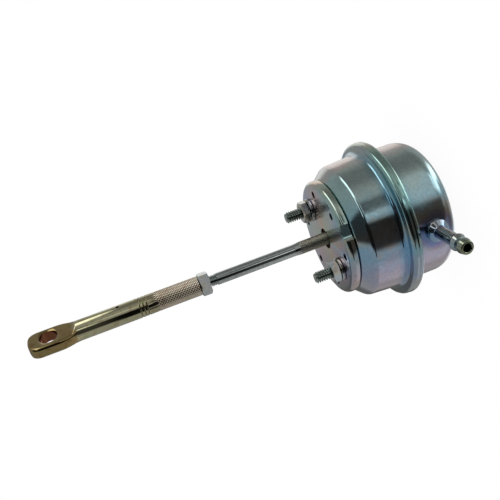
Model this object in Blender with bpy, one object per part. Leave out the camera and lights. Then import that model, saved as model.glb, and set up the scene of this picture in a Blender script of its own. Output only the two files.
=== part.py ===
"""Wastegate actuator: a two-shell pressure can with a diaphragm, a spring and an adjustable push rod.

The frame stands on the closed end of the rear can: its centre is the origin, and +Z runs along the rod
towards the eye. All lengths are metres. The rod end's eye has its hole along X.
"""

import math

import bmesh
import bpy
from mathutils import Matrix, Vector

MM = 0.001
FACET_ERROR = 0.12 * MM  # how far a flat facet may lie inside the arc that it stands for
INNER_FACET_ERROR = 0.25 * MM  # the same, for the thin pieces sealed inside the can
LEAST_STEPS = 20  # facets round the smallest turned piece
LEAST_HOLE_STEPS = 12  # and round the smallest hole

# Fits
SEAT_GAP = 0.25 * MM  # between two pieces that rest on each other
HOLE_CLEARANCE = 0.3 * MM  # round a shank in its hole
RUNNING_CLEARANCE = 0.3 * MM  # round the rod in its bush
RIM_CLEARANCE = 0.3 * MM  # round the clamped flange inside the folded rim

# Pressed shells
SHEET = 1.5 * MM
REAR_RADIUS = 36.5 * MM
REAR_CORNER_RADIUS = 11 * MM
REAR_FLANGE_HEIGHT = 27.4 * MM  # rear face of the clamped flange
REAR_FLANGE_FILLET = 2 * MM
RIM_WIDTH = 6.6 * MM  # beyond the rear can's wall
RIM_FRONT_CORNER = 1.5 * MM
RIM_REAR_CORNER = 1.3 * MM
RIM_LIP_WIDTH = 3.3 * MM
FRONT_DEPTH = 23.8 * MM  # from the rim's front web to the end wall
FRONT_BASE_STEP = 1.15 * MM  # beyond the rear can's wall
FRONT_WEB_LAND = 0.95 * MM  # flat width of the web between its two fillets
FRONT_DRAFT = 1.15 * MM  # the wall closes in by this from the web to the shoulder
SHOULDER_WIDTH = 5.6 * MM
SHOULDER_DEPTH = 6.3 * MM
SHOULDER_FILLET = 1 * MM
END_WALL_FILLET = 2 * MM

# Mounting plate and its holes
PLATE_THICKNESS = 4.75 * MM
PLATE_OVERHANG = 0.5 * MM  # beyond the can's end wall
PLATE_FRONT_EDGE = 2.5 * MM
PLATE_REAR_EDGE = 0.5 * MM
PLATE_SEAM = 0.45 * MM  # dark line between plate and can
PLATE_HOLE_RADIUS = 5.7 * MM
NOTCH_WIDTH = 9.3 * MM
NOTCH_DEPTH = 1.8 * MM
NOTCH_ANGLE = math.radians(-58.5)
VENT_RADIUS = 2 * MM
VENT_INSET = 6.6 * MM  # from the plate's edge to a vent's centre
VENT_ANGLES = [math.radians(angle) for angle in (38, 90, 142)]  # from each stud, to both sides

# Studs, washers and nuts
STUD_ANGLES = [math.radians(56.3), math.radians(-123.7)]
STUD_OUTSET = 0.85 * MM  # outwards from midway between the bush's flange and the spring seat's wall
STUD_RADIUS = 3.1 * MM
STUD_REACH = 15.1 * MM  # above the plate's face
STUD_TIP_CHAMFER = 0.8 * MM
STUD_HEAD_RADIUS = 5.5 * MM
STUD_HEAD_HEIGHT = 2.5 * MM
WASHER_RADIUS = 6.3 * MM
WASHER_THICKNESS = 1.6 * MM
WASHER_SPLIT = 0.8 * MM
WASHER_SPLIT_ANGLES = [math.radians(-150), math.radians(100)]
NUT_ACROSS_FLATS = 11.1 * MM
NUT_HEIGHT = 4.1 * MM
NUT_CORNER_ANGLES = [math.radians(-13), math.radians(-1.3)]
CHAMFER_SLOPE = math.tan(math.radians(30))

# Push rod
ROD_RADIUS = 3.175 * MM
ROD_THICK_RADIUS = 3.45 * MM  # the fine-ringed stretch that runs in the bush
ROD_THICK_REACH = 15.4 * MM  # above the plate's face
ROD_TAPER = 3.3 * MM
ROD_SMOOTH_REACH = 63 * MM
ROD_THREAD_RADIUS = 3.05 * MM
ROD_THREAD_LENGTH = 37 * MM
ROD_TIP_CHAMFER = 0.8 * MM
ROD_STEM_RADIUS = 3 * MM  # carries the piston

# Bush in the end wall
BUSH_RADIUS = 5.5 * MM
BUSH_REACH = 1.4 * MM  # above the end wall's outer face
BUSH_FLANGE_RADIUS = 8 * MM
BUSH_FLANGE_HEIGHT = 2.3 * MM

# Piston, diaphragm and spring
PISTON_SHEET = 1.2 * MM
PISTON_FLOOR_HEIGHT = 12 * MM  # underside of its floor
PISTON_DEPTH = 19 * MM
PISTON_CORNER = 2 * MM
DIAPHRAGM_THICKNESS = 0.9 * MM
DIAPHRAGM_ROLL_RADIUS = 3 * MM
DIAPHRAGM_ROLL_CLEARANCE = 0.4 * MM  # from the roll to the front can's wall
DIAPHRAGM_ROLL_HEIGHT = 5.6 * MM  # above the clamped flange's front face
DIAPHRAGM_FILLET = 1.2 * MM
BACKING_INSET = 9.5 * MM  # from the piston's wall
BACKING_THICKNESS = 1.2 * MM
PISTON_NUT_ACROSS_FLATS = 10 * MM
PISTON_NUT_HEIGHT = 5 * MM
STEM_BEYOND_NUT = 0.8 * MM
SEAT_SHEET = 1.2 * MM
SEAT_INSET = 1.3 * MM  # inside the end wall's edge
SEAT_DROP = 4.4 * MM  # from the end wall down to the face that the spring bears on, behind the stud heads
SEAT_CORNER = 1.5 * MM
SEAT_STEP = 1.5 * MM
SEAT_HOLE_RADIUS = 9 * MM
SPRING_WIRE = 3.6 * MM
SPRING_INSET = 9.5 * MM  # from the piston's wall to the middle of the wire
SPRING_TURNS = 4.8
SPRING_DEAD_TURNS = 0.8
SPRING_END_GAP = 0.3 * MM
SPRING_STEPS_A_TURN = 14

# Jam nut and rod end
THREAD_SHOWING = 3.9 * MM
JAM_NUT_HEIGHT = 5.56 * MM
JAM_NUT_CORNER_ANGLE = math.radians(-10.9)
SLEEVE_RADIUS = 5.275 * MM
SLEEVE_LENGTH = 65.3 * MM
SLEEVE_EDGE = 0.4 * MM
SLEEVE_BORE_DEPTH = 47.3 * MM
WITNESS_HOLE_RADIUS = 0.9 * MM
WITNESS_HOLE_REACH = 42.9 * MM  # from the sleeve's open face
EYE_REACH = 79.7 * MM  # from the sleeve's open face to the hole's centre
EYE_THICKNESS = 6.2 * MM
EYE_WIDTH = 15.6 * MM
EYE_TIP_REACH = 10.9 * MM  # from the hole's centre
EYE_END_LENGTH = 6.5 * MM
EYE_CORNER = 1.5 * MM  # round the edge of both faces
EYE_HOLE_RADIUS = 5 * MM
EYE_HOLE_CHAMFER = 0.4 * MM
FORGED_RAMP = 3.2 * MM  # the bar thins from round to flat over this
FORGED_SPREAD = 10 * MM  # and widens over this
FORGED_SECTIONS = 8  # along the spread, and again round the eye's end

# Hose nipple
NIPPLE_HEIGHT = 14.3 * MM
NIPPLE_ANGLE = math.radians(-81.3)
NIPPLE_REACH = 28 * MM  # from the can's wall
NIPPLE_BORE_RADIUS = 2.25 * MM
NIPPLE_SPIGOT_RADIUS = 3 * MM
NIPPLE_TUBE_RADIUS = 3.5 * MM
COLLAR_RADIUS = 6 * MM
COLLAR_LAND = 1.1 * MM
COLLAR_CONE = 2 * MM
BEAD_START = 11.5 * MM  # from the free end
BEAD_CREST = 8.5 * MM
BEAD_RADIUS = 4.5 * MM
BEAD_FOOT = 6.2 * MM
NECK_RADIUS = 3.6 * MM
END_BEAD_CREST = 3.4 * MM
END_BEAD_RADIUS = 4 * MM
END_FACE_RADIUS = 3.4 * MM

# Radii that follow from the rear can's
RIM_RADIUS = REAR_RADIUS + RIM_WIDTH
FLANGE_RADIUS = RIM_RADIUS - SHEET - RIM_CLEARANCE
FRONT_BASE_RADIUS = REAR_RADIUS + FRONT_BASE_STEP
FRONT_BASE_FILLET = RIM_WIDTH - FRONT_BASE_STEP - FRONT_WEB_LAND - RIM_FRONT_CORNER
FRONT_SHOULDER_RADIUS = FRONT_BASE_RADIUS - FRONT_DRAFT
END_WALL_RADIUS = FRONT_SHOULDER_RADIUS - SHOULDER_WIDTH
PLATE_RADIUS = END_WALL_RADIUS + PLATE_OVERHANG
VENT_CIRCLE_RADIUS = PLATE_RADIUS - VENT_INSET
SEAT_RADIUS = END_WALL_RADIUS - SEAT_INSET
STUD_CIRCLE_RADIUS = (BUSH_FLANGE_RADIUS + SEAT_RADIUS - SEAT_SHEET) / 2 + STUD_OUTSET
ROLL_RADIUS = FRONT_BASE_RADIUS - SHEET - DIAPHRAGM_ROLL_CLEARANCE
PISTON_RADIUS = ROLL_RADIUS - 2 * DIAPHRAGM_ROLL_RADIUS - SEAT_GAP
BACKING_RADIUS = PISTON_RADIUS - BACKING_INSET
SPRING_MEAN_RADIUS = PISTON_RADIUS - SPRING_INSET

# Heights that follow from the stack, all along Z
FLANGE_FRONT = REAR_FLANGE_HEIGHT + SHEET
WEB_BACK = FLANGE_FRONT + DIAPHRAGM_THICKNESS + 2 * SEAT_GAP
WEB_FRONT = WEB_BACK + SHEET
LIP_BACK = REAR_FLANGE_HEIGHT - SEAT_GAP - SHEET
END_WALL_FRONT = WEB_FRONT + FRONT_DEPTH
END_WALL_BACK = END_WALL_FRONT - SHEET
PLATE_BACK = END_WALL_FRONT + PLATE_SEAM
PLATE_FRONT = PLATE_BACK + PLATE_THICKNESS
PISTON_FLOOR_FRONT = PISTON_FLOOR_HEIGHT + PISTON_SHEET
SEAT_FACE = END_WALL_BACK - SEAT_GAP - SEAT_DROP - SEAT_SHEET
JAM_NUT_BACK = PLATE_FRONT + ROD_SMOOTH_REACH + THREAD_SHOWING
SLEEVE_FACE = JAM_NUT_BACK + JAM_NUT_HEIGHT + SEAT_GAP
ROD_TIP = PLATE_FRONT + ROD_SMOOTH_REACH + ROD_THREAD_LENGTH
EYE_HEIGHT = SLEEVE_FACE + EYE_REACH

# Colours are sRGB, followed by metallic and roughness
ZINC = ((0.62, 0.68, 0.70), 1.0, 0.30)
DULL_ZINC = ((0.55, 0.58, 0.57), 1.0, 0.45)
STEEL = ((0.60, 0.60, 0.58), 1.0, 0.20)
YELLOW_ZINC = ((0.60, 0.55, 0.42), 1.0, 0.32)
SPRING_STEEL = ((0.40, 0.41, 0.43), 1.0, 0.35)
BRONZE = ((0.60, 0.47, 0.30), 1.0, 0.40)
RUBBER = ((0.05, 0.05, 0.05), 0.0, 0.80)


def clear_scene():
    for old in list(bpy.data.objects):
        bpy.data.objects.remove(old)


def empty(name, height=0.0, parent=None):
    """A point on the rod's axis that carries one moving group."""
    carrier = bpy.data.objects.new(name, None)
    bpy.context.collection.objects.link(carrier)
    carrier.empty_display_size = 5 * MM
    carrier.parent = parent
    carrier.location.z = height - (parent.location.z if parent else 0)
    return carrier


def material_of(name, finish):
    colour, metallic, roughness = finish
    material = bpy.data.materials.new(name)
    material.use_nodes = True
    shader = material.node_tree.nodes["Principled BSDF"]
    linear = [((c + 0.055) / 1.055) ** 2.4 for c in colour]
    shader.inputs["Base Color"].default_value = (*linear, 1)
    shader.inputs["Metallic"].default_value = metallic
    shader.inputs["Roughness"].default_value = roughness
    material.diffuse_color = (*linear, 1)
    return material


def add(name, data, finish=None, parent=None, place=Matrix()):
    """A mesh or curve as an object. Without a finish it is a cutter, which no render shows."""
    piece = bpy.data.objects.new(name, data)
    bpy.context.collection.objects.link(piece)
    piece.parent = parent
    offset = Matrix.Translation((0, 0, parent.location.z)) if parent else Matrix()
    piece.matrix_basis = offset.inverted() @ place
    if finish:
        data.materials.append(material_of(name, finish))
    else:
        piece.hide_render = True
        piece.display_type = "WIRE"
    return piece


def mesh_from(name, bm):
    bmesh.ops.remove_doubles(bm, verts=bm.verts, dist=0.001 * MM)
    bmesh.ops.recalc_face_normals(bm, faces=bm.faces)
    mesh = bpy.data.meshes.new(name)
    bm.to_mesh(mesh)
    bm.free()
    mesh.shade_smooth()
    mesh.set_sharp_from_angle(angle=math.radians(28))
    return mesh


def steps_for(radius, angle, error):
    """How many facets keep an arc within the error."""
    one = 2 * math.acos(1 - min(error / radius, 1))
    return max(1, math.ceil(angle / one))


def rounded(corners, error=FACET_ERROR):
    """The points of a line through (radius, height, fillet) corners, each corner turned by an arc."""
    ends = [Vector(corners[0][:2]), Vector(corners[-1][:2])]
    points = [ends[0]]
    for before, corner, after in zip(corners, corners[1:], corners[2:]):
        here = Vector(corner[:2])
        fillet = corner[2] if len(corner) > 2 else 0
        back = (Vector(before[:2]) - here).normalized()
        on = (Vector(after[:2]) - here).normalized()
        half = back.angle(on) / 2
        if fillet <= 0:
            points.append(here)
            continue
        centre = here + (back + on).normalized() * fillet / math.sin(half)
        first = here + back * fillet / math.tan(half) - centre
        turn = (math.pi - 2 * half) * (1 if on.cross(back) > 0 else -1)
        steps = steps_for(fillet, abs(turn), error)
        for step in range(steps + 1):
            points.append(centre + Matrix.Rotation(turn * step / steps, 2) @ first)
    points.append(ends[1])
    return [b for a, b in zip([None, *points], points) if a is None or (b - a).length > 0.01 * MM]


def moved(corners, distance):
    """The corners of the line that runs `distance` to the left, with fillets that stay concentric."""
    here = [Vector(corner[:2]) for corner in corners]
    ways = [(b - a).normalized() for a, b in zip(here, here[1:])]
    lefts = [Vector((-way.y, way.x)) for way in ways]
    new = [tuple(here[0] + lefts[0] * distance)]
    for i in range(1, len(here) - 1):
        shift = (lefts[i - 1] + lefts[i]) / (1 + lefts[i - 1].dot(lefts[i]))
        turn = 1 if ways[i - 1].cross(ways[i]) > 0 else -1
        fillet = corners[i][2] if len(corners[i]) > 2 else 0
        fillet = max(fillet - distance * turn, 0) if fillet else 0
        new.append((*(here[i] + shift * distance), fillet))
    new.append(tuple(here[-1] + lefts[-1] * distance))
    return new


def sheet(corners, thickness, error=FACET_ERROR):
    """The closed section of a pressed sheet: one face's line, and the same line moved by the thickness."""
    return rounded(corners, error) + rounded(moved(corners, thickness), error)[::-1]


def turned_mesh(name, outline, error=FACET_ERROR, least=LEAST_STEPS):
    """A closed outline of (radius, height) points turned once round Z."""
    bm = bmesh.new()
    verts = [bm.verts.new((point[0], 0, point[1])) for point in outline]
    edges = [bm.edges.new((a, b)) for a, b in zip(verts, verts[1:] + verts[:1])]
    widest = max(point[0] for point in outline)
    steps = max(least, 4 * math.ceil(steps_for(widest, 2 * math.pi, error) / 4))
    bmesh.ops.spin(bm, geom=verts + edges, cent=(0, 0, 0), axis=(0, 0, 1),
                   angle=2 * math.pi, steps=steps, use_merge=True)
    return mesh_from(name, bm)


def turned(name, outline, finish, parent, place=Matrix(), error=FACET_ERROR):
    return add(name, turned_mesh(name, outline, error), finish, parent, place)


def turned_sheet(name, corners, thickness, finish, parent):
    """A thin pressed or moulded piece inside the can."""
    outline = sheet(corners, thickness, INNER_FACET_ERROR)
    return turned(name, outline, finish, parent, error=INNER_FACET_ERROR)


def pin(name, radius, low, high, place=Matrix()):
    """A round cutter along its own Z."""
    outline = [(0, low), (radius, low), (radius, high), (0, high)]
    return add(name, turned_mesh(name, outline, least=LEAST_HOLE_STEPS), place=place)


def block(name, size, place=Matrix()):
    """A square cutter, centred on its place."""
    bm = bmesh.new()
    bmesh.ops.create_cube(bm, size=1, matrix=Matrix.Diagonal((*size, 1)))
    return add(name, mesh_from(name, bm), place=place)


def boolean(piece, operation, *tools):
    for tool in tools:
        modifier = piece.modifiers.new(tool.name, "BOOLEAN")
        modifier.operation = operation
        modifier.solver = "EXACT"
        modifier.object = tool


def cut(piece, *tools):
    boolean(piece, "DIFFERENCE", *tools)


def at_angle(angle, radius=0.0, height=0.0):
    """A place on a circle round Z, with its own X pointing outwards."""
    return Matrix.Rotation(angle, 4, "Z") @ Matrix.Translation((radius, 0, height))


def hex_nut(name, across_flats, height, bore, finish, parent, place):
    """A hexagon with 30 degree chamfers at both faces and a bore, standing on its place."""
    bm = bmesh.new()
    corner = across_flats / math.sqrt(3)
    bmesh.ops.create_cone(bm, cap_ends=True, segments=6, radius1=corner, radius2=corner,
                          depth=height, matrix=Matrix.Translation((0, 0, height / 2)))
    nut = add(name, mesh_from(name, bm), finish, parent, place)
    face = 0.47 * across_flats
    wide = 0.6 * across_flats
    rise = (wide - face) * CHAMFER_SLOPE
    lens = [(0, 0), (face, 0), (wide, rise), (wide, height - rise), (face, height), (0, height)]
    lens_name = name + "_chamfer_cutter"
    boolean(nut, "INTERSECT", add(lens_name, turned_mesh(lens_name, lens), place=nut.matrix_basis.copy()))
    nut.modifiers[-1].object.parent = parent
    bore_cutter = pin(name + "_bore_cutter", bore, -height, 2 * height, nut.matrix_basis.copy())
    bore_cutter.parent = parent
    cut(nut, bore_cutter)
    return nut


def rear_can(housing):
    """The pressure side: a drawn cup, flanged at its mouth, with the hose nipple's hole in its wall."""
    line = [
        (0, 0),
        (REAR_RADIUS, 0, REAR_CORNER_RADIUS),
        (REAR_RADIUS, REAR_FLANGE_HEIGHT, REAR_FLANGE_FILLET),
        (FLANGE_RADIUS, REAR_FLANGE_HEIGHT),
    ]
    can = turned("rear_can", sheet(line, SHEET), ZINC, housing)
    hole = NIPPLE_SPIGOT_RADIUS + HOLE_CLEARANCE
    cut(can, pin("nipple_hole_cutter", hole, REAR_RADIUS / 2, 2 * REAR_RADIUS, nipple_place()))


def front_can(housing):
    """The spring side: a drawn cup whose web folds round the rear can's flange and grips it."""
    line = [
        (BUSH_RADIUS + HOLE_CLEARANCE, END_WALL_FRONT),
        (END_WALL_RADIUS, END_WALL_FRONT, END_WALL_FILLET),
        (FRONT_SHOULDER_RADIUS, END_WALL_FRONT - SHOULDER_DEPTH, SHOULDER_FILLET),
        (FRONT_BASE_RADIUS, WEB_FRONT, FRONT_BASE_FILLET),
        (RIM_RADIUS, WEB_FRONT, RIM_FRONT_CORNER),
        (RIM_RADIUS, LIP_BACK, RIM_REAR_CORNER),
        (RIM_RADIUS - RIM_LIP_WIDTH, LIP_BACK),
    ]
    can = turned("front_can", sheet(line, -SHEET), ZINC, housing)
    cut(can, *plate_hole_cutters("can", END_WALL_BACK - SHEET, END_WALL_FRONT + SHEET))


def vent_places():
    """Six breather holes, three to each side of the line through the studs."""
    return [at_angle(STUD_ANGLES[0] + side * angle, VENT_CIRCLE_RADIUS)
            for angle in VENT_ANGLES for side in (1, -1)]


def plate_hole_cutters(owner, low, high):
    studs = [pin(f"{owner}_stud_hole_cutter_{i}", STUD_RADIUS + HOLE_CLEARANCE, low, high,
                 at_angle(angle, STUD_CIRCLE_RADIUS)) for i, angle in enumerate(STUD_ANGLES, 1)]
    vents = [pin(f"{owner}_vent_cutter_{i}", VENT_RADIUS, low, high, place)
             for i, place in enumerate(vent_places(), 1)]
    return studs + vents


def mounting_plate(housing):
    """The thick disc that bolts to a bracket: rounded front edge, vents, and a keying notch in its edge."""
    line = [
        (PLATE_HOLE_RADIUS, PLATE_FRONT),
        (PLATE_RADIUS, PLATE_FRONT, PLATE_FRONT_EDGE),
        (PLATE_RADIUS, PLATE_BACK, PLATE_REAR_EDGE),
        (PLATE_HOLE_RADIUS, PLATE_BACK),
    ]
    plate = turned("mounting_plate", rounded(line), ZINC, housing)
    cut(plate, *plate_hole_cutters("plate", PLATE_BACK - SHEET, PLATE_FRONT + SHEET))
    notch_reach = PLATE_RADIUS + NOTCH_DEPTH
    notch = (2 * (notch_reach - (PLATE_RADIUS - NOTCH_DEPTH)), NOTCH_WIDTH, 3 * PLATE_THICKNESS)
    cut(plate, block("notch_cutter", notch,
                     at_angle(NOTCH_ANGLE, PLATE_RADIUS - NOTCH_DEPTH + notch[0] / 2, PLATE_BACK)))


def studs(housing):
    """Two headed studs, pushed out through the end wall and the plate, with split washers and nuts."""
    head_front = END_WALL_BACK - SEAT_GAP
    tip = PLATE_FRONT + STUD_REACH
    outline = [
        (0, head_front - STUD_HEAD_HEIGHT),
        (STUD_HEAD_RADIUS, head_front - STUD_HEAD_HEIGHT),
        (STUD_HEAD_RADIUS, head_front),
        (STUD_RADIUS, head_front),
        (STUD_RADIUS, tip - STUD_TIP_CHAMFER),
        (STUD_RADIUS - STUD_TIP_CHAMFER, tip),
        (0, tip),
    ]
    washer_back = PLATE_FRONT + SEAT_GAP
    nut_back = washer_back + WASHER_THICKNESS + SEAT_GAP
    bore = STUD_RADIUS + HOLE_CLEARANCE
    ring = [(bore, 0), (WASHER_RADIUS, 0), (WASHER_RADIUS, WASHER_THICKNESS), (bore, WASHER_THICKNESS)]
    split = (2 * WASHER_RADIUS, WASHER_SPLIT, 4 * WASHER_THICKNESS)
    slant = Matrix.Rotation(math.radians(25), 4, "X")
    for i, angle in enumerate(STUD_ANGLES):
        centre = Matrix.Translation(at_angle(angle, STUD_CIRCLE_RADIUS).translation)
        turned(f"stud_{i + 1}", outline, DULL_ZINC, housing, centre)
        seat = centre @ Matrix.Translation((0, 0, washer_back))
        washer = turned(f"stud_washer_{i + 1}", ring, DULL_ZINC, housing, seat)
        middle = at_angle(WASHER_SPLIT_ANGLES[i], WASHER_RADIUS, WASHER_THICKNESS / 2)
        cut(washer, block(f"washer_split_cutter_{i + 1}", split, seat @ middle @ slant))
        turn = Matrix.Rotation(NUT_CORNER_ANGLES[i], 4, "Z")
        hex_nut(f"stud_nut_{i + 1}", NUT_ACROSS_FLATS, NUT_HEIGHT, bore, DULL_ZINC, housing,
                centre @ Matrix.Translation((0, 0, nut_back)) @ turn)


def rod_bush(housing):
    """The flanged bush that guides the rod through the end wall."""
    flange_front = END_WALL_BACK - SEAT_GAP
    low = flange_front - BUSH_FLANGE_HEIGHT
    high = END_WALL_FRONT + BUSH_REACH
    bore = ROD_THICK_RADIUS + RUNNING_CLEARANCE
    outline = [
        (bore, low),
        (BUSH_FLANGE_RADIUS, low),
        (BUSH_FLANGE_RADIUS, flange_front),
        (BUSH_RADIUS, flange_front),
        (BUSH_RADIUS, high),
        (bore, high),
    ]
    turned("rod_bush", outline, BRONZE, housing)


def spring_seat(housing):
    """A pressed dish that clears the stud heads and centres the spring on its inner step."""
    step_radius = SPRING_MEAN_RADIUS - SPRING_WIRE / 2 - HOLE_CLEARANCE
    line = [
        (SEAT_HOLE_RADIUS, SEAT_FACE - SEAT_STEP),
        (step_radius, SEAT_FACE - SEAT_STEP),
        (step_radius, SEAT_FACE),
        (SEAT_RADIUS, SEAT_FACE, SEAT_CORNER),
        (SEAT_RADIUS, END_WALL_BACK - SEAT_GAP),
    ]
    seat = turned_sheet("spring_seat", line, SEAT_SHEET, STEEL, housing)
    cut(seat, *[pin(f"seat_breather_cutter_{i}", VENT_RADIUS, SEAT_FACE - SEAT_SHEET,
                    SEAT_FACE + 2 * SEAT_SHEET, place) for i, place in enumerate(vent_places(), 1)])


def spring(housing):
    """The return spring, with closed end turns, between the piston's floor and the spring seat."""
    low = PISTON_FLOOR_FRONT + SEAT_GAP + SPRING_WIRE / 2
    high = SEAT_FACE - SEAT_GAP - SPRING_WIRE / 2
    dead_pitch = SPRING_WIRE + SPRING_END_GAP
    live_turns = SPRING_TURNS - 2 * SPRING_DEAD_TURNS
    live_pitch = (high - low - 2 * SPRING_DEAD_TURNS * dead_pitch) / live_turns
    steps = round(SPRING_TURNS * SPRING_STEPS_A_TURN)
    curve = bpy.data.curves.new("spring", "CURVE")
    curve.dimensions = "3D"
    curve.bevel_depth = SPRING_WIRE / 2
    curve.bevel_resolution = 2
    curve.use_fill_caps = True
    coil = curve.splines.new("POLY")
    coil.points.add(steps)
    for i, point in enumerate(coil.points):
        turn = SPRING_TURNS * i / steps
        dead = min(turn, SPRING_DEAD_TURNS) + max(turn - SPRING_TURNS + SPRING_DEAD_TURNS, 0)
        height = low + dead * dead_pitch + (turn - dead) * live_pitch
        angle = 2 * math.pi * turn
        point.co = (SPRING_MEAN_RADIUS * math.cos(angle), SPRING_MEAN_RADIUS * math.sin(angle), height, 1)
    add("spring", curve, SPRING_STEEL, housing)


def diaphragm(housing):
    """The rolling rubber diaphragm: clamped bead, inverted roll beside the piston, and head under it."""
    clamped = FLANGE_FRONT + SEAT_GAP + DIAPHRAGM_THICKNESS
    roll_top = FLANGE_FRONT + DIAPHRAGM_ROLL_HEIGHT
    inner = PISTON_RADIUS + SEAT_GAP
    head = PISTON_FLOOR_HEIGHT - SEAT_GAP
    line = [
        (FLANGE_RADIUS, clamped),
        (ROLL_RADIUS, clamped, DIAPHRAGM_FILLET),
        (ROLL_RADIUS, roll_top, DIAPHRAGM_ROLL_RADIUS),
        (inner, roll_top, DIAPHRAGM_ROLL_RADIUS),
        (inner, head, PISTON_CORNER + SEAT_GAP),
        (ROD_STEM_RADIUS + HOLE_CLEARANCE, head),
    ]
    turned_sheet("diaphragm", line, DIAPHRAGM_THICKNESS, RUBBER, housing)


def rod_group(slide):
    """The push rod and what it carries: the piston, the diaphragm's backing plate and their nut."""
    bore = ROD_STEM_RADIUS + HOLE_CLEARANCE
    cup = [
        (bore, PISTON_FLOOR_HEIGHT),
        (PISTON_RADIUS, PISTON_FLOOR_HEIGHT, PISTON_CORNER),
        (PISTON_RADIUS, PISTON_FLOOR_HEIGHT + PISTON_DEPTH),
    ]
    turned_sheet("piston", cup, PISTON_SHEET, STEEL, slide)

    backing_front = PISTON_FLOOR_HEIGHT - 2 * SEAT_GAP - DIAPHRAGM_THICKNESS
    backing_back = backing_front - BACKING_THICKNESS
    washer = [(bore, backing_back), (BACKING_RADIUS, backing_back), (BACKING_RADIUS, backing_front),
              (bore, backing_front)]
    turned("diaphragm_plate", washer, STEEL, slide)

    nut_back = backing_back - SEAT_GAP - PISTON_NUT_HEIGHT
    hex_nut("piston_nut", PISTON_NUT_ACROSS_FLATS, PISTON_NUT_HEIGHT, bore, DULL_ZINC, slide,
            Matrix.Translation((0, 0, nut_back)))

    shoulder = PISTON_FLOOR_FRONT + SEAT_GAP
    taper = PLATE_FRONT + ROD_THICK_REACH
    thread = PLATE_FRONT + ROD_SMOOTH_REACH
    outline = [
        (0, nut_back - STEM_BEYOND_NUT),
        (ROD_STEM_RADIUS, nut_back - STEM_BEYOND_NUT),
        (ROD_STEM_RADIUS, shoulder),
        (ROD_THICK_RADIUS, shoulder),
        (ROD_THICK_RADIUS, taper),
        (ROD_RADIUS, taper + ROD_TAPER),
        (ROD_RADIUS, thread),
        (ROD_THREAD_RADIUS, thread),
        (ROD_THREAD_RADIUS, ROD_TIP - ROD_TIP_CHAMFER),
        (ROD_THREAD_RADIUS - ROD_TIP_CHAMFER, ROD_TIP),
        (0, ROD_TIP),
    ]
    turned("rod", outline, STEEL, slide)


def bar_ring(bm, height, half_x, half_y, corner):
    """One section of the forged bar: a rectangle with round corners, or a circle where they fill it."""
    first = math.radians(90 / 16)
    verts = []
    for quarter in range(4):
        side_x = (1, -1, -1, 1)[quarter]
        side_y = (1, 1, -1, -1)[quarter]
        for step in range(8):
            angle = first + step * 2 * first + quarter * math.pi / 2
            x = side_x * (half_x - corner) + corner * math.cos(angle) / math.cos(first)
            y = side_y * (half_y - corner) + corner * math.sin(angle) / math.cos(first)
            verts.append(bm.verts.new((x, y, height)))
    return verts


def eye_sections():
    """Sections from the sleeve to the eye's tip, as (height, half x, half y, corner)."""
    sleeve_end = SLEEVE_FACE + SLEEVE_LENGTH
    flat = EYE_THICKNESS / 2
    wide = EYE_WIDTH / 2
    edge = SLEEVE_RADIUS - SLEEVE_EDGE
    sections = [
        (SLEEVE_FACE, edge, edge, edge),
        (SLEEVE_FACE + SLEEVE_EDGE, SLEEVE_RADIUS, SLEEVE_RADIUS, SLEEVE_RADIUS),
    ]
    for step in range(FORGED_SECTIONS + 1):
        share = step / FORGED_SECTIONS
        height = FORGED_SPREAD * share
        pressed = min(height / FORGED_RAMP, 1)
        pressed = pressed * pressed * (3 - 2 * pressed)
        half_x = SLEEVE_RADIUS + (flat - SLEEVE_RADIUS) * pressed
        half_y = SLEEVE_RADIUS + (wide - SLEEVE_RADIUS) * math.sin(share * math.pi / 2)
        corner = SLEEVE_RADIUS + (EYE_CORNER - SLEEVE_RADIUS) * pressed
        sections.append((sleeve_end + height, half_x, half_y, min(corner, half_x)))
    tip = EYE_HEIGHT + EYE_TIP_REACH
    end_start = tip - EYE_END_LENGTH
    for step in range(FORGED_SECTIONS + 1):
        angle = step / FORGED_SECTIONS * math.pi / 2
        half_y = wide * math.cos(angle) ** 0.8 if step < FORGED_SECTIONS else 0
        height = end_start + EYE_END_LENGTH * math.sin(angle) ** 0.8
        inset = EYE_CORNER - min(EYE_CORNER, tip - height)
        half_x = flat - EYE_CORNER + math.sqrt(EYE_CORNER ** 2 - inset ** 2)
        sections.append((height, half_x, half_y, min(EYE_CORNER, half_y, half_x)))
    return sections


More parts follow.
